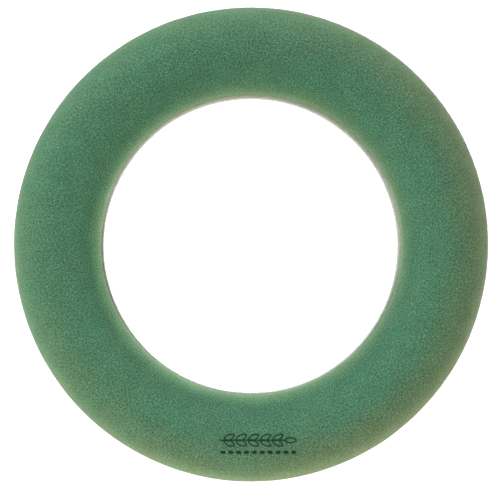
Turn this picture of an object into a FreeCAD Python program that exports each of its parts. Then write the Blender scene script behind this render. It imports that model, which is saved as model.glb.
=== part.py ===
"""Floral foam wreath ring: half-round green foam bonded to a flat polystyrene base ring.

Millimetres, +Z up. The origin is the centre of the base's flat underside.
Every piece is a ring about Z, so each one is a closed section in the XZ plane, turned once round.
"""
import FreeCAD, Part
import math
import os

# ---- Driving dimensions ----
RING_DIAMETER = 300.0        # outside of the foam, the size that such a ring is sold by
SECTION_WIDTH = 54.75        # foam, from its outer wall to its inner wall
FOAM_HEIGHT = 36.0           # foam, from its flat underside to its crown
FOAM_FOOT_ROUND = 0.8        # worn lower corner of the foam

BASE_THICKNESS = 11.0
BASE_OUTER_LEDGE = 1.2       # how far the base stands out past the foam's outer wall
BASE_INNER_LEDGE = 1.0       # how far it reaches into the hole past the foam's inner wall
BASE_EDGE_ROUND = 0.8

BEAD_WIDTH = 5.0             # a hot-melt bead, pressed flat between foam and base
BEAD_TOP_WIDTH = 3.4
BEAD_HEIGHT = 1.2
BEAD_FROM_WALL = 9.0         # from the foam's wall to the middle of the nearer bead

# ---- Worked out ----
FOAM_OUTER_R = RING_DIAMETER / 2
FOAM_INNER_R = FOAM_OUTER_R - SECTION_WIDTH
CROWN_R = SECTION_WIDTH / 2
MIDDLE_R = FOAM_OUTER_R - CROWN_R

BASE_OUTER_R = FOAM_OUTER_R + BASE_OUTER_LEDGE
BASE_INNER_R = FOAM_INNER_R - BASE_INNER_LEDGE

JOINT_Z = BASE_THICKNESS
CROWN_Z = JOINT_Z + FOAM_HEIGHT
SPRING_Z = CROWN_Z - CROWN_R   # where the straight walls end and the half-round begins

OUTER_BEAD_R = FOAM_OUTER_R - BEAD_FROM_WALL
INNER_BEAD_R = FOAM_INNER_R + BEAD_FROM_WALL

DIAGONAL = math.sqrt(0.5)


def point(r, z):
    """A point of a section, at radius r and height z."""
    return FreeCAD.Vector(r, 0, z)


def line(start, end):
    return Part.LineSegment(start, end).toShape()


def arc(start, middle, end):
    return Part.Arc(start, middle, end).toShape()


def turn(edges):
    """Turns a closed section once round Z into a solid ring."""
    face = Part.Face(Part.Wire(edges))
    ring = face.revolve(FreeCAD.Vector(0, 0, 0), FreeCAD.Vector(0, 0, 1), 360)
    return ring if ring.isValid() else ring.removeSplitter()


def rounded_slab(inner_r, outer_r, bottom_z, top_z, corner):
    """A ring of rectangular section with its four edges rounded."""
    inset = corner * (1 - DIAGONAL)
    low, high = bottom_z + corner, top_z - corner
    near, far = inner_r + corner, outer_r - corner
    return turn([
        line(point(near, bottom_z), point(far, bottom_z)),
        arc(point(far, bottom_z), point(outer_r - inset, bottom_z + inset), point(outer_r, low)),
        line(point(outer_r, low), point(outer_r, high)),
        arc(point(outer_r, high), point(outer_r - inset, top_z - inset), point(far, top_z)),
        line(point(far, top_z), point(near, top_z)),
        arc(point(near, top_z), point(inner_r + inset, top_z - inset), point(inner_r, high)),
        line(point(inner_r, high), point(inner_r, low)),
        arc(point(inner_r, low), point(inner_r + inset, bottom_z + inset), point(near, bottom_z)),
    ])


def bead(middle_r):
    """A glue bead: flat on the base, with slanting sides and a flat top pressed into the foam."""
    wide, narrow = BEAD_WIDTH / 2, BEAD_TOP_WIDTH / 2
    top_z = JOINT_Z + BEAD_HEIGHT
    corners = [
        point(middle_r - wide, JOINT_Z),
        point(middle_r + wide, JOINT_Z),
        point(middle_r + narrow, top_z),
        point(middle_r - narrow, top_z),
    ]
    return turn([line(start, end) for start, end in zip(corners, corners[1:] + corners[:1])])


def foam_blank():
    """The foam before it is pressed onto the glue: straight walls under a half-round crown."""
    corner = FOAM_FOOT_ROUND
    inset = corner * (1 - DIAGONAL)
    low = JOINT_Z + corner
    near, far = FOAM_INNER_R + corner, FOAM_OUTER_R - corner
    return turn([
        line(point(near, JOINT_Z), point(far, JOINT_Z)),
        arc(point(far, JOINT_Z), point(FOAM_OUTER_R - inset, JOINT_Z + inset),
            point(FOAM_OUTER_R, low)),
        line(point(FOAM_OUTER_R, low), point(FOAM_OUTER_R, SPRING_Z)),
        arc(point(FOAM_OUTER_R, SPRING_Z), point(MIDDLE_R, CROWN_Z), point(FOAM_INNER_R, SPRING_Z)),
        line(point(FOAM_INNER_R, SPRING_Z), point(FOAM_INNER_R, low)),
        arc(point(FOAM_INNER_R, low), point(FOAM_INNER_R + inset, JOINT_Z + inset),
            point(near, JOINT_Z)),
    ])


def foam_ring(beads):
    """Soft foam gives way round each bead, which leaves a shallow groove of the bead's shape."""
    foam = foam_blank()
    for glue in beads:
        foam = foam.cut(glue)
    return foam


def base_ring():
    """The flat polystyrene ring, a little wider than the foam on both sides."""
    return rounded_slab(BASE_INNER_R, BASE_OUTER_R, 0.0, BASE_THICKNESS, BASE_EDGE_ROUND)


def export(name, shape):
    """Writes one sub-part to its own file, as a single closed solid."""
    solids = shape.Solids
    if len(solids) != 1 or not solids[0].isValid():
        raise SystemExit(f"{name}: {len(solids)} solids, valid: {shape.isValid()}")
    solids[0].exportStep(os.path.join("parts", name + ".step"))
    print(f"{name}: {solids[0].Volume / 1000:.1f} cm3")


def main():
    os.makedirs("parts", exist_ok=True)
    glue = {"glue_bead_outer": bead(OUTER_BEAD_R), "glue_bead_inner": bead(INNER_BEAD_R)}
    export("base_ring", base_ring())
    export("foam_ring", foam_ring(glue.values()))
    for name, shape in glue.items():
        export(name, shape)


main()
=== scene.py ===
"""Looks of a floral foam wreath ring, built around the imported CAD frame. Metres, +Z up.

The foam, the polystyrene base and the glue beads are each one mesh piece that stands for its CAD
node. Radii and heights are read from those nodes, so the pieces sit where the CAD says.
"""

import math

import bmesh
import bpy
import numpy as np
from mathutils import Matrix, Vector, kdtree

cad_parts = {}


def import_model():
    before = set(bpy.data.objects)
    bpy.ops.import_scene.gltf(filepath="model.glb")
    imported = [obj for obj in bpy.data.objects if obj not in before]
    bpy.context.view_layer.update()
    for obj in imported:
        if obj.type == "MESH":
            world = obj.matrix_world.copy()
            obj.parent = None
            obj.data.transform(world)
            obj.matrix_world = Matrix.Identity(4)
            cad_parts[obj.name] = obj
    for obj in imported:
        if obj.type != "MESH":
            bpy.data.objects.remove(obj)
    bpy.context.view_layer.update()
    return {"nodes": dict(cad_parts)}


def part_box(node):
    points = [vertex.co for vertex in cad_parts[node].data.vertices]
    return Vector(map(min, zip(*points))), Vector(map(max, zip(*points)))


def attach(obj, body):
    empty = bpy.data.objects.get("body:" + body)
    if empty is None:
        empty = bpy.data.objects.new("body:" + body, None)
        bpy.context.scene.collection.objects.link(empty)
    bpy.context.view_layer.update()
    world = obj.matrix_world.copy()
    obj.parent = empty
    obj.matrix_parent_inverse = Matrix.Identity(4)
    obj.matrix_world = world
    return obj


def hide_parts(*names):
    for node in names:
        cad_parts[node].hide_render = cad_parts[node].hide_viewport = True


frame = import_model()

MM = 0.001
TURN = 2 * math.pi


# ---- Sizes from the frame ----

class RingSize:
    """Inner and outer radius, bottom and top of a CAD node that is a ring about Z."""

    def __init__(self, node):
        points = frame["nodes"][node].data.vertices
        radii = [math.hypot(v.co.x, v.co.y) for v in points]
        low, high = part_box(node)
        self.inner, self.outer = min(radii), max(radii)
        self.bottom, self.top = low.z, high.z
        self.middle = (self.inner + self.outer) / 2
        self.half = (self.outer - self.inner) / 2


foam_size = RingSize("foam_ring")
base_size = RingSize("base_ring")
glue_sizes = {node: RingSize(node) for node in ("glue_bead_inner", "glue_bead_outer")}
SPRING_Z = foam_size.top - foam_size.half      # the foam's walls end and its half-round begins


# ---- Outlines: lists of (radius, height) ----

def straight(start, end, steps):
    """Points from start up to, but without, end."""
    return [tuple(np.array(start) + (np.array(end) - start) * k / steps) for k in range(steps)]


def sweep(centre, radius, start_deg, end_deg, steps):
    """Points along an arc from start_deg up to, but without, end_deg; 90 is straight up."""
    angles = np.radians(np.linspace(start_deg, end_deg, steps, endpoint=False))
    return [(centre[0] + radius * math.cos(a), centre[1] + radius * math.sin(a)) for a in angles]


SLANT = 0.16         # how far a glue bead's slanting side leans in, as a share of its width
CORNER_STEPS = 3     # points round a small rounded corner


def bead_top(size, inward):
    """Points over a pressed glue bead, up one slanting side and along the top, without the last."""
    slant = SLANT * (size.outer - size.inner)
    across = [(size.inner, size.bottom), (size.inner + slant, size.top),
              (size.outer - slant, size.top), (size.outer, size.bottom)]
    if inward:
        across.reverse()
    return [point for start, end in zip(across, across[1:]) for point in straight(start, end, 3)]


# ---- Noise ----

WAVE_SPREAD = (0.7, 1.5)       # lowest and highest frequency, as a share of the one asked for


def waves(points, wavelength, seed, count=32):
    """Smooth noise of about unit size: a sum of plane waves in random directions."""
    rng = np.random.default_rng(seed)
    way = rng.normal(size=(count, 3))
    way /= np.linalg.norm(way, axis=1)[:, None]
    speed = TURN / wavelength * rng.uniform(*WAVE_SPREAD, count)
    phase = rng.uniform(0, TURN, count)
    return np.cos(points @ (way * speed[:, None]).T + phase).sum(axis=1) * math.sqrt(2 / count)


def smooth_step(value, low, high):
    """0 below low to 1 above high, with no corner at either end."""
    t = np.clip((value - low) / (high - low), 0, 1)
    return t * t * (3 - 2 * t)


# ---- Mesh helpers ----

def ring_mesh(name, outline, columns):
    """A closed outline, running up its inner side and down its outer side, turned round Z."""
    outline = np.array(outline)
    rows = len(outline)
    angles = np.linspace(0, TURN, columns, endpoint=False)
    radius, height = outline[:, 0, None], outline[:, 1, None]
    level = np.broadcast_to(height, (rows, columns))
    points = np.stack([radius * np.cos(angles), radius * np.sin(angles), level], axis=-1)
    row, column = np.meshgrid(np.arange(rows), np.arange(columns), indexing="ij")
    next_row, next_column = (row + 1) % rows, (column + 1) % columns
    corners = ((row, column), (next_row, column), (next_row, next_column), (row, next_column))
    faces = np.stack([r * columns + c for r, c in corners], axis=-1)
    mesh = bpy.data.meshes.new(name)
    mesh.from_pydata(points.reshape(-1, 3).tolist(), [], faces.reshape(-1, 4).tolist())
    mesh.shade_smooth()
    piece = bpy.data.objects.new(name, mesh)
    bpy.context.scene.collection.objects.link(piece)
    return piece


def read(mesh, field):
    """One three-number field of all the mesh's points, as an array."""
    values = np.zeros(len(mesh.vertices) * 3, np.float32)
    mesh.vertices.foreach_get(field, values)
    return values.reshape(-1, 3).astype(float)


def move(mesh, points):
    """Puts the mesh's points at new places."""
    mesh.vertices.foreach_set("co", points.astype(np.float32).ravel())
    mesh.update()


def push(mesh, points, normals, depth):
    """Moves each point along its own normal."""
    move(mesh, points + normals * depth[:, None])


def store(mesh, name, values):
    """Keeps one number per point, for the material to read."""
    layer = mesh.attributes.new(name, "FLOAT", "POINT")
    layer.data.foreach_set("value", values.astype(np.float32))


def pits(points, centres, radii, depths):
    """How deep each point lies in round-bottomed pits at the given centres."""
    tree = kdtree.KDTree(len(points))
    for index, point in enumerate(points):
        tree.insert(point, index)
    tree.balance()
    depth = np.zeros(len(points))
    for centre, radius, deepest in zip(centres, radii, depths):
        for _, index, gap in tree.find_range(centre, radius):
            depth[index] = max(depth[index], deepest * (1 - (gap / radius) ** 2))
    return depth


def finish_piece(piece, node):
    """Lets a piece stand for a CAD node: hangs it under the root body and hides the node."""
    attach(piece, "root")
    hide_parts(node)


# ---- The pressed mark: a plain leaf sprig over a row of short dashes ----

MARK_CENTRE = (4.6 * MM, -120.8 * MM)
MARK_LENGTH = 47 * MM
MARK_STROKE = 0.75 * MM
MARK_DEPTH = 0.85 * MM
LEAF_LENGTH = 7.5 * MM
LEAF_WIDTH = 3.2 * MM
LEAF_LEAN = math.radians(27)
LEAF_PAIRS = 5
FIRST_LEAF = 2 * MM               # from the stem's foot to the root of the first pair
DASH_ROW_DROP = 7.7 * MM
DASH_SIZE = (3.2 * MM, 2.1 * MM)
DASHES = 10
MARK_MARGIN = 2 * MM              # room round the mark where the mesh is fine
MARK_EDGE = (-0.15 * MM, 0.25 * MM)     # where a stroke's wall starts and ends, from its outline
MARK_REACH_UP = 6 * MM            # from the stem to above the leaves, with that room
MARK_REACH_DOWN = DASH_ROW_DROP + 2.5 * MM


def leaf_outline(x, y, root, lean):
    """Distance to the outline of a pointed leaf that grows from root, leaning by an angle."""
    along = (x - root[0]) * math.cos(lean) + (y - root[1]) * math.sin(lean) - LEAF_LENGTH / 2
    across = np.abs((y - root[1]) * math.cos(lean) - (x - root[0]) * math.sin(lean))
    half, wide = LEAF_LENGTH / 2, LEAF_WIDTH / 2
    bow = (half * half - wide * wide) / (2 * wide)      # centre of the side's arc, below the middle
    to_side = np.abs(np.hypot(along, across + bow) - (bow + wide))
    to_tip = np.hypot(np.abs(along) - half, across)
    return np.where(np.abs(along) <= half, to_side, to_tip)


def mark_mask(points):
    """1 inside the strokes of the mark, falling to 0 just outside them."""
    x = points[:, 0] - MARK_CENTRE[0]
    y = points[:, 1] - MARK_CENTRE[1]
    foot, tip = -MARK_LENGTH / 2, MARK_LENGTH / 2
    gap = np.hypot(x - np.clip(x, foot, tip - LEAF_LENGTH), y)
    for root in np.linspace(foot + FIRST_LEAF, tip - 2 * LEAF_LENGTH, LEAF_PAIRS):
        for side in (1, -1):
            gap = np.minimum(gap, leaf_outline(x, y, (root, 0), side * LEAF_LEAN))
    gap = np.minimum(gap, leaf_outline(x, y, (tip - LEAF_LENGTH, 0), 0))
    gap -= MARK_STROKE / 2
    reach = (MARK_LENGTH - DASH_SIZE[0]) / 2
    for place in np.linspace(-reach, reach, DASHES):
        end = (DASH_SIZE[0] - DASH_SIZE[1]) / 2
        nearest = np.clip(x - place, -end, end)
        gap = np.minimum(gap, np.hypot(x - place - nearest, y + DASH_ROW_DROP) - DASH_SIZE[1] / 2)
    return (1 - smooth_step(gap, *MARK_EDGE)) * (points[:, 2] > SPRING_Z)


# ---- The foam ----

FOAM_COLUMNS = 712
FOAM_CROWN_ROWS = 84
FOAM_WALL_ROWS = 8
FOAM_FOOT = 0.8 * MM
FOAM_SETBACK = 0.2 * MM           # how far the worn surface lies inside the moulded size
FOAM_SEED = 11
FOAM_PITS = 5200
PIT_RADIUS = (0.7, 1.5)           # in mm, before it is raised to a power that favours small pits
PIT_RADIUS_POWER = 1.5
PIT_DEPTH = (0.15, 0.42)          # as a share of the pit's radius
WALL_ROUGHNESS = 0.3              # of the crown's, because the mould leaves the walls smoother
CROWN_FACING = (0.1, 0.75)        # upward part of the normal: a wall's, and the rough crown's
FOAM_SWELL = ((75 * MM, 0.05 * MM, 1), (17 * MM, 0.03 * MM, 2))     # wavelength, height, seed
FOAM_RIPPLE = (4.5 * MM, 0.02 * MM, 3)
FOAM_HELD = (0.1 * MM, 1.5 * MM)  # above the base, where the surface starts to leave the CAD shape


def foam_outline():
    """Up the inner wall, over the crown, down the outer wall, and back over the two glue beads."""
    size, foot = foam_size, FOAM_FOOT
    near, far, low = size.inner, size.outer, size.bottom
    outline = sweep((near + foot, low + foot), foot, 270, 180, CORNER_STEPS)
    outline += straight((near, low + foot), (near, SPRING_Z), FOAM_WALL_ROWS)
    outline += sweep((size.middle, SPRING_Z), size.half, 180, 0, FOAM_CROWN_ROWS)
    outline += straight((far, SPRING_Z), (far, low + foot), FOAM_WALL_ROWS)
    outline += sweep((far - foot, low + foot), foot, 0, -90, CORNER_STEPS)
    reach = far - foot
    for node in ("glue_bead_outer", "glue_bead_inner"):
        bead = glue_sizes[node]
        outline += straight((reach, low), (bead.outer, low), 2)
        outline += bead_top(bead, inward=True)
        reach = bead.inner
    return outline + straight((reach, low), (near + foot, low), 2)


def refine_mark(mesh):
    """Cuts the faces round the mark into thirds, so that its thin strokes have an edge."""
    grid = bmesh.new()
    grid.from_mesh(mesh)
    edges = set()
    for face in grid.faces:
        middle = face.calc_center_median()
        beside = abs(middle.x - MARK_CENTRE[0]) < MARK_LENGTH / 2 + MARK_MARGIN
        level = -MARK_REACH_DOWN < middle.y - MARK_CENTRE[1] < MARK_REACH_UP
        if beside and level and middle.z > SPRING_Z:
            edges.update(face.edges)
    bmesh.ops.subdivide_edges(grid, edges=list(edges), cuts=2, use_grid_fill=True)
    grid.to_mesh(mesh)
    grid.free()
    mesh.shade_smooth()


def foam_relief(points, normals, pressed):
    """Height of the foam's surface over its moulded shape: worn back, wavy, pitted and pressed."""
    rng = np.random.default_rng(FOAM_SEED)
    chosen = rng.choice(len(points), FOAM_PITS, replace=False)
    radii = rng.uniform(*PIT_RADIUS, FOAM_PITS) ** PIT_RADIUS_POWER * MM
    hollow = pits(points, points[chosen], radii, radii * rng.uniform(*PIT_DEPTH, FOAM_PITS))

    upward = smooth_step(normals[:, 2], *CROWN_FACING)
    rough = WALL_ROUGHNESS + (1 - WALL_ROUGHNESS) * upward
    relief = -FOAM_SETBACK
    for wavelength, height, seed in FOAM_SWELL:
        relief = relief + height * waves(points, wavelength, seed)
    wavelength, height, seed = FOAM_RIPPLE
    relief += rough * height * (waves(points, wavelength, seed) + rng.normal(size=len(points)))
    relief -= rough * hollow * (1 - pressed) + MARK_DEPTH * pressed
    start, full = FOAM_HELD
    return relief * smooth_step(points[:, 2], foam_size.bottom + start, foam_size.bottom + full)


def foam_ring():
    """The foam, with each point's place on its section and mark kept for the material."""
    piece = ring_mesh("foam", foam_outline(), FOAM_COLUMNS)
    mesh = piece.data
    refine_mark(mesh)
    points, normals = read(mesh, "co"), read(mesh, "normal")
    pressed = mark_mask(points)
    push(mesh, points, normals, foam_relief(points, normals, pressed))

    radius = np.hypot(points[:, 0], points[:, 1])
    across = np.clip((radius - foam_size.middle) / foam_size.half, -1, 1)
    over_crown = np.arcsin(across) * foam_size.half
    down_wall = np.maximum(SPRING_Z - points[:, 2], 0)
    store(mesh, "pressed", pressed)
    store(mesh, "across", across)
    store(mesh, "climb", over_crown + np.sign(across) * down_wall)
    mesh.materials.append(foam_material())
    finish_piece(piece, "foam_ring")


# ---- The polystyrene base ----

BASE_COLUMNS = 880
BASE_FACE_ROWS = 66
BASE_WALL_ROWS = 11
BASE_EDGE = 0.8 * MM
BASE_SETBACK = 0.1 * MM
BASE_SWELL = (60 * MM, 0.04 * MM, 7)      # wavelength, height, seed
BEAD_SIZE = 4.2 * MM
BEAD_DISORDER = 0.85                      # 0 is a regular grid of beads
SEAM_DEPTH = 0.2 * MM
SEAM_WIDTH = 0.6 * MM
HOLE_OFFSET = (-0.28 * MM, -0.95 * MM)    # the base's hole is not quite central under the foam
RIM_OFFSET = (0.42 * MM, 0.42 * MM)       # the base's outside is not quite central either
DUST_AND_SHADE_REACH = 0.7 * MM                     # how far the foam dust, with painted shade next to the foam, spreads over the outer ledge
HOLE_DUST_AND_SHADE = 0.8                           # how much of the hole's wall the dust and painted shade cover
LEDGE_FACING = (0.2, 0.9)                 # upward part of the normal: none of the dust and shade, and all of it
HOLE_FACING = (-0.9, -0.2)                # the same in the hole, which keeps its dust and painted shade to its foot
FLAT_FACING = 0.9                         # upward part of the normal of the flat top
LIP_WIDTH = (0.25 * MM, 0.6 * MM)         # in from the foam's wall: the painted shade starts, and is full
LIP_DEPTH = (8 * MM, 4 * MM)              # below the base's top: the painted shade starts, and is full


def base_outline():
    """Up the hole's wall, across the top under the foam, down the outside, and back underneath.

    The top has a row just inside each of the foam's walls, where its smooth hidden part begins.
    """
    size, edge = base_size, BASE_EDGE
    near, far, low, high = size.inner, size.outer, size.bottom, size.top
    foam_near, foam_far = foam_size.inner, foam_size.outer
    outline = sweep((near + edge, low + edge), edge, 270, 180, CORNER_STEPS)
    outline += straight((near, low + edge), (near, high - edge), BASE_WALL_ROWS)
    outline += sweep((near + edge, high - edge), edge, 180, 90, CORNER_STEPS)
    outline += straight((near + edge, high), (foam_near + MM, high), 3)
    outline += straight((foam_near + MM, high), (foam_far - MM, high), 3)
    outline += straight((foam_far - MM, high), (far - edge, high), 2)
    outline += sweep((far - edge, high - edge), edge, 90, 0, CORNER_STEPS)
    outline += straight((far, high - edge), (far, low + edge), BASE_WALL_ROWS)
    outline += sweep((far - edge, low + edge), edge, 0, -90, CORNER_STEPS)
    return outline + straight((far - edge, low), (near + edge, low), BASE_FACE_ROWS)


def bead_cells(tree, place):
    """Packed beads that fill space: distance to the seam between two, and a colour for each."""
    sockets = []
    for feature, output in (("DISTANCE_TO_EDGE", "Distance"), ("F1", "Color")):
        node = tree.nodes.new("ShaderNodeTexVoronoi")
        node.feature = feature
        node.inputs["Scale"].default_value = 1 / BEAD_SIZE
        node.inputs["Randomness"].default_value = BEAD_DISORDER
        tree.links.new(place, node.inputs["Vector"])
        sockets.append(node.outputs[output])
    return sockets


def seam_gaps(piece):
    """Distance from each point of a piece to the nearest seam that its material will draw."""
    tree = bpy.data.node_groups.new("seam_gaps", "GeometryNodeTree")
    for way in ("INPUT", "OUTPUT"):
        tree.interface.new_socket("Geometry", in_out=way, socket_type="NodeSocketGeometry")
    start, end = tree.nodes.new("NodeGroupInput"), tree.nodes.new("NodeGroupOutput")
    keep = tree.nodes.new("GeometryNodeStoreNamedAttribute")
    keep.inputs["Name"].default_value = "gap"
    gap, _ = bead_cells(tree, tree.nodes.new("GeometryNodeInputPosition").outputs[0])
    tree.links.new(start.outputs[0], keep.inputs["Geometry"])
    tree.links.new(gap, keep.inputs["Value"])
    tree.links.new(keep.outputs[0], end.inputs[0])
    modifier = piece.modifiers.new("seam_gaps", "NODES")
    modifier.node_group = tree
    mesh = piece.evaluated_get(bpy.context.evaluated_depsgraph_get()).data
    gaps = np.zeros(len(mesh.vertices), np.float32)
    mesh.attributes["gap"].data.foreach_get("value", gaps)
    piece.modifiers.remove(modifier)
    bpy.data.node_groups.remove(tree)
    return gaps.astype(float) * BEAD_SIZE


def shift_edges(points, radius):
    """Slides the hole and the outside of the base a little sideways, each by its own offset."""
    near_hole = 1 - smooth_step(radius, base_size.inner + MM, base_size.middle)
    near_rim = smooth_step(radius, base_size.middle, foam_size.outer)
    points[:, :2] += near_hole[:, None] * np.array(HOLE_OFFSET)
    points[:, :2] += near_rim[:, None] * np.array(RIM_OFFSET)


def base_relief(piece, points, normals, radius):
    """Depth of the base's surface under its moulded shape: set back, and dented along its seams."""
    wavelength, height, seed = BASE_SWELL
    relief = -BASE_SETBACK - SEAM_DEPTH * np.exp(-(seam_gaps(piece) / SEAM_WIDTH) ** 2)
    relief += height * waves(points, wavelength, seed)
    in_band = (radius > foam_size.inner) & (radius < foam_size.outer)
    under_foam = in_band & (normals[:, 2] > FLAT_FACING)
    return np.where(under_foam, 0, np.minimum(relief, 0))


def dust_and_shade_mask(normals, radius):
    """How much foam dust and painted shade lie on each point: on the ledge next to the foam, and in
    the hole.
    """
    past_foam = np.clip(radius - foam_size.outer, 0, None)
    on_ledge = np.exp(-past_foam / DUST_AND_SHADE_REACH) * smooth_step(normals[:, 2], *LEDGE_FACING)
    in_hole = smooth_step(foam_size.inner + MM - radius, 0, MM)
    in_hole *= smooth_step(normals[:, 2], *HOLE_FACING)
    return np.where(radius < base_size.middle, HOLE_DUST_AND_SHADE * in_hole, on_ledge)


def lip_shade_mask(points, radius):
    """Where the lip carries painted shade: 1 on the upper part of the hole's wall and on the
    rounded edge above it, 0 elsewhere.
    """
    start, full = LIP_DEPTH
    high_up = smooth_step(points[:, 2], base_size.top - start, base_size.top - full)
    return smooth_step(foam_size.inner - radius, *LIP_WIDTH) * high_up


def base_ring():
    """The base, with its dust and painted shade, and the painted shade on its lip, kept for the
    material.
    """
    piece = ring_mesh("base", base_outline(), BASE_COLUMNS)
    mesh = piece.data
    points, normals = read(mesh, "co"), read(mesh, "normal")
    radius = np.hypot(points[:, 0], points[:, 1])
    shift_edges(points, radius)
    move(mesh, points)
    push(mesh, points, normals, base_relief(piece, points, normals, radius))
    store(mesh, "dust_and_shade", dust_and_shade_mask(normals, radius))
    store(mesh, "lip", lip_shade_mask(points, radius))
    mesh.materials.append(base_material())
    finish_piece(piece, "base_ring")


# ---- The glue beads ----

GLUE_COLUMNS = 360
GLUE_GAP = 0.05 * MM
GLUE_SPREAD = 0.84                # the bead's size, as a share of its groove's
GLUE_SWELL = (14 * MM, 0.09)      # wavelength along the bead, and how much its size changes
GLUE_SWELL_LIMIT = 1.5            # the most that one swelling may be, in typical ones


def glue_bead(node, seed):
    """A bead that swells and thins along its way, inside the groove that it made in the foam."""
    size = glue_sizes[node]
    outline = bead_top(size, inward=False)
    outline += straight((size.outer, size.bottom), (size.inner, size.bottom), 3)
    piece = ring_mesh(node.replace("bead", "line"), outline, GLUE_COLUMNS)
    points = read(piece.data, "co")
    radius = np.hypot(points[:, 0], points[:, 1])
    along = points / radius[:, None] * size.middle
    wavelength, swell = GLUE_SWELL
    spread = GLUE_SPREAD + swell * np.clip(waves(along, wavelength, seed),
                                         -GLUE_SWELL_LIMIT, GLUE_SWELL_LIMIT)
    place = (size.middle + (radius - size.middle) * spread) / radius
    points[:, :2] *= place[:, None]
    points[:, 2] = size.bottom + GLUE_GAP + (points[:, 2] - size.bottom) * spread
    move(piece.data, points)
    piece.data.materials.append(glue_material())
    finish_piece(piece, node)


# ---- Materials ----

class Graph:
    """A material's node tree, with short ways to add and join nodes."""

    def __init__(self, name):
        self.material = bpy.data.materials.new(name)
        self.material.use_nodes = True
        self.tree = self.material.node_tree
        self.shader = self.tree.nodes["Principled BSDF"]
        self.place = self.add("ShaderNodeTexCoord").outputs["Object"]

    def add(self, kind, **settings):
        node = self.tree.nodes.new(kind)
        for key, value in settings.items():
            setattr(node, key, value)
        return node

    def join(self, source, target):
        """Links a socket to an input, or sets the input to a plain value."""
        if hasattr(source, "links"):
            self.tree.links.new(source, target)
        else:
            target.default_value = source

    def noise(self, wavelength, detail=2.0, rough=0.5, over=None):
        """Soft noise in space, or over a flat surface if one is given."""
        node = self.add("ShaderNodeTexNoise", noise_dimensions="2D" if over else "3D")
        self.join(over or self.place, node.inputs["Vector"])
        node.inputs["Scale"].default_value = 1 / wavelength
        node.inputs["Detail"].default_value = detail
        node.inputs["Roughness"].default_value = rough
        return node.outputs["Fac"]

    def cells(self, size, loose=1.0, over=None):
        """Distance to the nearest of scattered points, in space or over a flat surface."""
        node = self.add("ShaderNodeTexVoronoi", voronoi_dimensions="2D" if over else "3D")
        self.join(over or self.place, node.inputs["Vector"])
        node.inputs["Scale"].default_value = 1 / size
        node.inputs["Randomness"].default_value = loose
        return node.outputs["Distance"]

    def skin(self, radius, climb):
        """A ring's surface laid out flat: distance round the ring, and distance up its section."""
        split, flat = self.add("ShaderNodeSeparateXYZ"), self.add("ShaderNodeCombineXYZ")
        self.join(self.place, split.inputs[0])
        around = self.math("ARCTAN2", split.outputs["Y"], split.outputs["X"])
        self.join(self.math("MULTIPLY", around, radius), flat.inputs["X"])
        self.join(self.attribute(climb), flat.inputs["Y"])
        return flat.outputs[0]

    def math(self, operation, first, second=0.0):
        node = self.add("ShaderNodeMath", operation=operation)
        self.join(first, node.inputs[0])
        self.join(second, node.inputs[1])
        return node.outputs[0]

    def span(self, value, low, high, start, end, kind="SMOOTHSTEP"):
        """Maps low..high of a value to start..end, and holds it at those ends."""
        node = self.add("ShaderNodeMapRange", interpolation_type=kind)
        for socket, number in zip(("Value", "From Min", "From Max", "To Min", "To Max"),
                                  (value, low, high, start, end)):
            self.join(number, node.inputs[socket])
        return node.outputs[0]

    def mix(self, amount, first, second, blend="MIX"):
        node = self.add("ShaderNodeMix", data_type="RGBA", blend_type=blend)
        self.join(amount, node.inputs["Factor"])
        self.join(first, node.inputs["A"])
        self.join(second, node.inputs["B"])
        return node.outputs["Result"]

    def grey(self, value):
        node = self.add("ShaderNodeCombineColor")
        for socket in node.inputs:
            self.join(value, socket)
        return node.outputs[0]

    def attribute(self, name):
        """One number that the mesh keeps for each of its points."""
        return self.add("ShaderNodeAttribute", attribute_name=name).outputs["Fac"]

    def height(self):
        """Height over the table."""
        node = self.add("ShaderNodeSeparateXYZ")
        self.join(self.place, node.inputs[0])
        return node.outputs["Z"]

    def side(self, around):
        """0 on the far side of the ring to 1 on the side that lies at this angle round Z."""
        around = math.radians(around)
        node = self.add("ShaderNodeVectorMath", operation="DOT_PRODUCT")
        self.join(self.place, node.inputs[0])
        node.inputs[1].default_value = (math.cos(around), math.sin(around), 0)
        reach = foam_size.outer
        return self.span(node.outputs["Value"], -reach, reach, 0.0, 1.0, "LINEAR")

    def bump(self, height, distance, strength):
        node = self.add("ShaderNodeBump")
        self.join(height, node.inputs["Height"])
        node.inputs["Distance"].default_value = distance
        node.inputs["Strength"].default_value = strength
        self.join(node.outputs[0], self.shader.inputs["Normal"])

    def set(self, **values):
        """Sets or links the shader's inputs; an underscore stands for a space in their names."""
        for name, value in values.items():
            self.join(value, self.shader.inputs[name.replace("_", " ")])


FOAM_GREEN = (0.073, 0.196, 0.117, 1)
FOAM_WARM = (0.092, 0.194, 0.103, 1)
# Painted light: paler lower walls, as if lit by the glowing floor and sheen
FOAM_PAINTED_BOUNCE = (0.178, 0.268, 0.140, 1)
FOAM_PRESSED_AND_SHADED = (0.006, 0.034, 0.015, 1)
# Painted light: the flank tints stand in for the sheen and floor bounce that the flanks catch at
# grazing angles
OUTER_FLANK_PAINTED_LIGHT = (1.45, 1.20, 1.08, 1)
INNER_FLANK_PAINTED_LIGHT = (1.00, 0.93, 0.82, 1)
WARM_SIDE_TINT = (1.35, 0.91, 0.89, 1)
WARM_SIDE = 328                # degrees round Z from +X
OUTER_PALER_SIDE_TINT = (1.42, 1.34, 1.36, 1)
OUTER_PALER_SIDE = 285
OUTER_EDGE_TINT = (1.06, 0.94, 0.98, 1)
INNER_PALER_SIDE_TINT = (1.64, 1.78, 1.80, 1)
INNER_PALER_SIDE = 208
FOAM_FOOT_SHADE_AND_STAIN = (0.15, 0.17, 0.11, 1)
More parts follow.
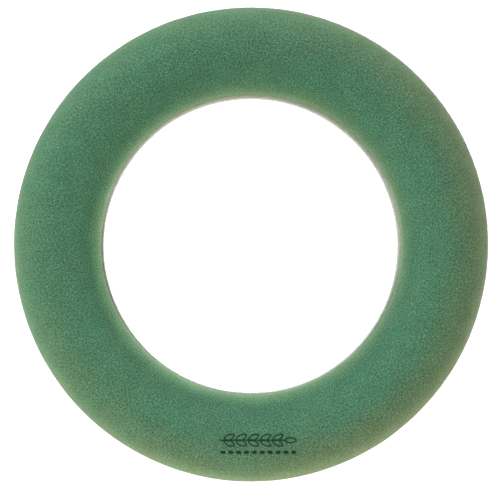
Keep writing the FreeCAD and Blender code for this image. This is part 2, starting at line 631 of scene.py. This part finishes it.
# Foam dust with painted shade on the base, lighter towards one side
LEDGE_DUST_AND_SHADE = (0.31, 0.345, 0.265, 1)
LIGHTER_DUST_AND_SHADE = (0.48, 0.53, 0.41, 1)
LIGHTER_DUST_SIDE = 155
# Painted shade of the gap under the foam, on one side of the hole's lip
LIP_SHADE = (0.12, 0.17, 0.11, 1)
SHADED_LIP_SIDE = 220
BEAD_DARK = (0.46, 0.45, 0.42, 1)
BEAD_LIGHT = (0.55, 0.54, 0.50, 1)
SEAM_GREY_AND_SHADE = (0.28, 0.27, 0.25, 1)
GLUE_AMBER = (0.62, 0.50, 0.28, 1)
GLUE_MILKY = (0.80, 0.72, 0.52, 1)

# Where a tint starts and ends across the foam: -1 is the hole's wall, 0 the crown, 1 the outer wall
OUTER_FLANK = (0.10, 0.90)
INNER_FLANK = (-1.0, -0.62)
WARM_SHOULDER = (-0.08, 0.65)
PALE_FLANK = (-0.5, 0.9)
OUTER_RIM = (0.60, 0.98)
OUTER_EDGE = (0.84, 0.96)
INNER_RIM = (-1.0, -0.75)
CALM_FLANK = (0.35, 0.95)         # the grain fades towards the outer wall

# Strengths of the tints, and powers that widen (under 1) or narrow (over 1) where they lie
SHOULDER_POWER = 0.6
SIDE_POWER = 2.0
PALE_WALL = 0.8                   # in full at the foam's foot
PALE_OUTSIDE = 0.45               # of that, at the outer wall
PALE_FROM = 6 * MM                # over the foam's foot, where it starts to fade
PALE_TO = 8 * MM                  # below the crown, where it ends
PRESSED_SHADE_DARK = 0.92
FOOT_SHADE_AND_STAIN_DARK = 0.85
FOOT_SHADE_FROM, FOOT_SHADE_TO = 0.2 * MM, 1.0 * MM       # over the foam's foot
SEAM_SHADE_DARK = 0.5
LIP_SHADE_REACH = (0.60, 0.78)         # of the way across the ring, from none to full

# How a pattern is used: where it starts and ends, and what it gives at those two places
WARM_MOTTLE = (0.38, 0.62, 0.0, 0.30)
PATCH_TONE = (0.3, 0.7, 0.95, 1.05)
FLECK_TONE = (0.07, 0.16, 1.35, 1.0)
PINHOLE_TONE = (0.12, 0.42, 0.68, 1.0)
GRAIN_TONE = (0.28, 0.72, 0.64, 1.36)
GRAIN_CALM = (*CALM_FLANK, 0.86, 0.42)
DUST_SPECKLE = (0.35, 0.6, 0.75, 1.0)
BUBBLE_RELIEF = (0.1, 0.6, 0.0, 0.3)
SEAM_ROUGHNESS = (0.0, 1.0, 0.42, 0.7)
GLUE_ROUGHNESS = (0.3, 0.7, 0.28, 0.45)

# Sizes of what is drawn on the surfaces
MOTTLE_SIZE = 26 * MM
PATCH_SIZE = 10 * MM
FLECK_SIZE = 4 * MM
PINHOLE_SIZE = 1.5 * MM
GRAIN_SIZE = 1.15 * MM
DUST_GRAIN = 0.8 * MM
BUBBLE_SIZE = 0.55 * MM
SEAM_LINE = 0.08                  # from the seam to where its line ends, as a share of a bead
BEAD_SHOULDER = 0.3               # from the seam to where a bead's crown is flat
GLUE_CLOUD_SIZE = 5 * MM
GLUE_BUBBLE_SIZE = 1.2 * MM
GRAIN_RELIEF = 0.6
FOAM_BUMP = (0.5 * MM, 0.55)      # distance, strength
BASE_BUMP = (0.2 * MM, 0.5)
GLUE_BUMP = (0.15 * MM, 0.3)


def foam_colour(g):
    """Green and a little mottled; painted bounce light and sheen make its flanks and lower walls
    paler; warmer on one side, paler on two.
    """
    across = g.attribute("across")
    mottle = g.span(g.noise(MOTTLE_SIZE, 3), *WARM_MOTTLE)
    colour = g.mix(mottle, FOAM_GREEN, FOAM_WARM)
    # Painted light: flank tints for the sheen and floor bounce on the flanks
    outer = g.span(across, *OUTER_FLANK, 0.0, 1.0, "LINEAR")
    inner = g.span(across, *INNER_FLANK, 1.0, 0.0, "LINEAR")
    colour = g.mix(outer, colour, OUTER_FLANK_PAINTED_LIGHT, "MULTIPLY")
    colour = g.mix(inner, colour, INNER_FLANK_PAINTED_LIGHT, "MULTIPLY")
    # Warmer and less green towards one side of the outer shoulder
    shoulder = g.span(across, *WARM_SHOULDER, 0.0, 1.0, "LINEAR")
    shoulder = g.math("POWER", shoulder, SHOULDER_POWER)
    warmer_side = g.math("MULTIPLY", g.side(WARM_SIDE), shoulder)
    colour = g.mix(warmer_side, colour, WARM_SIDE_TINT, "MULTIPLY")
    # Painted light: the lower walls made paler, as the floor's bounce and sheen would light them
    fades, gone = foam_size.bottom + PALE_FROM, foam_size.top - PALE_TO
    low = g.span(g.height(), fades, gone, PALE_WALL, 0.0)
    inward = g.span(across, *PALE_FLANK, 1.0, PALE_OUTSIDE)
    colour = g.mix(g.math("MULTIPLY", low, inward), colour, FOAM_PAINTED_BOUNCE)
    # Paler towards one side at the outer rim, and towards another side at the inner rim
    outer_rim = g.span(across, *OUTER_RIM, 0.0, 1.0)
    paler = g.math("MULTIPLY", g.side(OUTER_PALER_SIDE), outer_rim)
    colour = g.mix(paler, colour, OUTER_PALER_SIDE_TINT, "MULTIPLY")
    edge = g.span(across, *OUTER_EDGE, 0.0, 1.0)
    colour = g.mix(edge, colour, OUTER_EDGE_TINT, "MULTIPLY")
    inner_rim = g.span(across, *INNER_RIM, 1.0, 0.0)
    paler = g.math("MULTIPLY", g.math("POWER", g.side(INNER_PALER_SIDE), SIDE_POWER), inner_rim)
    return g.mix(paler, colour, INNER_PALER_SIDE_TINT, "MULTIPLY")


def foam_material():
    """Dusty, matt, open-celled foam: fine grain, dark pinholes and pale flecks over its colour."""
    g = Graph("floral_foam")
    skin = g.skin(foam_size.middle, "climb")
    grain = g.span(g.noise(GRAIN_SIZE, 1, 0.8, skin), *GRAIN_TONE)
    pinholes = g.span(g.cells(PINHOLE_SIZE, 0.8, skin), *PINHOLE_TONE)
    flecks = g.span(g.cells(FLECK_SIZE, 1.0, skin), *FLECK_TONE)
    patches = g.span(g.noise(PATCH_SIZE, 1), *PATCH_TONE)
    calm = g.span(g.attribute("across"), *GRAIN_CALM)
    tone = g.math("MULTIPLY", g.math("MULTIPLY", grain, pinholes), flecks)
    tone = g.math("MULTIPLY", g.math("POWER", tone, calm), patches)
    colour = g.mix(1.0, foam_colour(g), g.grey(tone), "MULTIPLY")
    # The pressed strokes are darker: crushed cells, with painted shade in their recess
    pressed = g.math("MULTIPLY", g.attribute("pressed"), PRESSED_SHADE_DARK)
    colour = g.mix(pressed, colour, FOAM_PRESSED_AND_SHADED)
    # Darker at the foam's foot: painted shade of the joint with the base, and glue soaked into the
    # foam
    foot = foam_size.bottom
    shade_and_stain = g.span(g.height(), foot + FOOT_SHADE_FROM, foot + FOOT_SHADE_TO, FOOT_SHADE_AND_STAIN_DARK, 0.0)
    colour = g.mix(shade_and_stain, colour, FOAM_FOOT_SHADE_AND_STAIN)

    coarse = g.math("MULTIPLY", pinholes, GRAIN_RELIEF)
    g.bump(g.math("ADD", g.math("MULTIPLY", grain, GRAIN_RELIEF), coarse), *FOAM_BUMP)
    g.set(Base_Color=colour, Roughness=0.95, Specular_IOR_Level=0.15,
          Sheen_Weight=0.28, Sheen_Roughness=0.2)
    return g.material


def base_material():
    """Moulded expanded polystyrene: pale grey beads with darker seams that carry painted shade in
    their grooves, and dust with painted shade next to the foam.
    """
    g = Graph("expanded_polystyrene")
    gap, bead = bead_cells(g.tree, g.place)
    seam = g.span(gap, 0.0, SEAM_LINE, 1.0, 0.0)
    colour = g.mix(bead, BEAD_DARK, BEAD_LIGHT)
    # Darker seams between the beads, with painted shade in their grooves
    colour = g.mix(g.math("MULTIPLY", seam, SEAM_SHADE_DARK), colour, SEAM_GREY_AND_SHADE)
    speckled = g.span(g.noise(DUST_GRAIN, 2), *DUST_SPECKLE)
    # Dust with painted shade next to the foam and in the hole, lighter towards one side
    dust_and_shade = g.mix(g.math("POWER", g.side(LIGHTER_DUST_SIDE), SIDE_POWER), LEDGE_DUST_AND_SHADE, LIGHTER_DUST_AND_SHADE)
    colour = g.mix(g.math("MULTIPLY", g.attribute("dust_and_shade"), speckled), colour, dust_and_shade)
    # Painted shade of the gap under the foam, on one side of the hole's lip
    shaded_lip = g.span(g.side(SHADED_LIP_SIDE), *LIP_SHADE_REACH, 0.0, 1.0)
    colour = g.mix(g.math("MULTIPLY", shaded_lip, g.attribute("lip")), colour, LIP_SHADE)
    bubbles = g.span(g.cells(BUBBLE_SIZE), *BUBBLE_RELIEF)
    crowned = g.span(gap, 0.0, BEAD_SHOULDER, 0.0, 1.0)
    g.bump(g.math("ADD", bubbles, crowned), *BASE_BUMP)
    rough = g.span(seam, *SEAM_ROUGHNESS)
    g.set(Base_Color=colour, Roughness=rough, Subsurface_Weight=0.15,
          Subsurface_Radius=(0.6, 0.6, 0.6), Subsurface_Scale=2 * MM, Specular_IOR_Level=0.4)
    return g.material


def glue_material():
    """Set hot-melt adhesive: milky amber, with small bubbles."""
    g = Graph("hot_melt_adhesive")
    cloud = g.noise(GLUE_CLOUD_SIZE, 3)
    colour = g.mix(cloud, GLUE_AMBER, GLUE_MILKY)
    g.bump(g.cells(GLUE_BUBBLE_SIZE), *GLUE_BUMP)
    g.set(Base_Color=colour, Roughness=g.span(cloud, *GLUE_ROUGHNESS),
          Subsurface_Weight=0.3, Subsurface_Radius=(1.0, 0.8, 0.4), Subsurface_Scale=1.5 * MM)
    return g.material


# ---- Floor, light and camera ----

FLOOR_SIZE = 8.0
FLOOR_GAP = 0.05 * MM
TABLE_GREY = (0.24, 0.24, 0.24, 1)
TABLE_GLOW = 1.2
WHITE = (1, 1, 1, 1)
CAMERA_HEIGHT = 1.10
CAMERA_SENSOR = 36.0
FIELD_WIDTH = 0.3222            # what the image's width spans at the floor
CAMERA_SHIFT = (-0.0021, -0.0109)
HORIZON_GLOW = 1.0
ZENITH_GLOW = 0.02
GLOW_FADES_FROM = 9             # degrees above the horizon
GLOW_FADES_TO = 32

# name: (colour, degrees round Z from +X, degrees down from straight above, distance, width, watts)
LAMPS = {
    "key": ((0.72, 0.88, 1), 124, 62, 2.0, 0.9, 26),
    "back": ((1, 0.88, 0.84), 60, 70, 2.0, 0.9, 13.5),
    "front": ((1, 1, 0.86), 264, 32, 1.2, 0.4, 9.3),
    "low_fill": ((1, 0.85, 1), 230, 70, 2.0, 0.9, 7),
}


def floor_material():
    """A white light table: a matt surface with a soft glow from below."""
    g = Graph("white_table")
    g.set(Base_Color=TABLE_GREY, Roughness=0.9, Specular_IOR_Level=0.1,
          Emission_Color=WHITE, Emission_Strength=TABLE_GLOW)
    return g.material


def floor():
    """The table top, just under the base."""
    mesh = bpy.data.meshes.new("table")
    half = FLOOR_SIZE / 2
    level = base_size.bottom - FLOOR_GAP
    corners = [(x * half, y * half, level) for x, y in ((-1, -1), (1, -1), (1, 1), (-1, 1))]
    mesh.from_pydata(corners, [], [(0, 1, 2, 3)])
    mesh.materials.append(floor_material())
    table = bpy.data.objects.new("table", mesh)
    bpy.context.scene.collection.objects.link(table)


def world():
    """A white room that glows near the horizon and is almost dark overhead."""
    studio = bpy.data.worlds.new("studio")
    studio.use_nodes = True
    nodes, links = studio.node_tree.nodes, studio.node_tree.links
    way = nodes.new("ShaderNodeTexCoord")
    split = nodes.new("ShaderNodeSeparateXYZ")
    fade = nodes.new("ShaderNodeMapRange")
    fade.interpolation_type = "SMOOTHSTEP"
    settings = {"From Min": math.sin(math.radians(GLOW_FADES_FROM)),
                "From Max": math.sin(math.radians(GLOW_FADES_TO)),
                "To Min": HORIZON_GLOW, "To Max": ZENITH_GLOW}
    for socket, number in settings.items():
        fade.inputs[socket].default_value = number
    links.new(way.outputs["Generated"], split.inputs[0])
    links.new(split.outputs["Z"], fade.inputs["Value"])
    links.new(fade.outputs[0], nodes["Background"].inputs["Strength"])
    nodes["Background"].inputs["Color"].default_value = WHITE
    bpy.context.scene.world = studio


def lights():
    """Round soft lamps, each aimed at the middle of the ring."""
    for name, (colour, around, down, distance, size, watts) in LAMPS.items():
        light = bpy.data.lights.new(name, "AREA")
        light.shape = "DISK"
        light.size = size
        light.color = colour
        light.energy = watts
        around, down = math.radians(around), math.radians(down)
        aside = math.sin(down)
        way = Vector((math.cos(around) * aside, math.sin(around) * aside, math.cos(down)))
        lamp = bpy.data.objects.new(name, light)
        lamp.location = way * distance
        lamp.rotation_mode = "QUATERNION"
        lamp.rotation_quaternion = way.to_track_quat("Z", "Y")
        bpy.context.scene.collection.objects.link(lamp)


def camera():
    """Straight above the ring, with +Y up in the image."""
    data = bpy.data.cameras.new("camera")
    data.sensor_width = CAMERA_SENSOR
    data.lens = CAMERA_SENSOR * CAMERA_HEIGHT / FIELD_WIDTH
    data.shift_x, data.shift_y = CAMERA_SHIFT
    eye = bpy.data.objects.new("camera", data)
    eye.location = (0, 0, CAMERA_HEIGHT)
    bpy.context.scene.collection.objects.link(eye)
    bpy.context.scene.camera = eye


camera()
floor()
world()
lights()
foam_ring()
base_ring()
glue_bead("glue_bead_inner", seed=21)
glue_bead("glue_bead_outer", seed=22)
bpy.context.scene.view_settings.view_transform = "Standard"
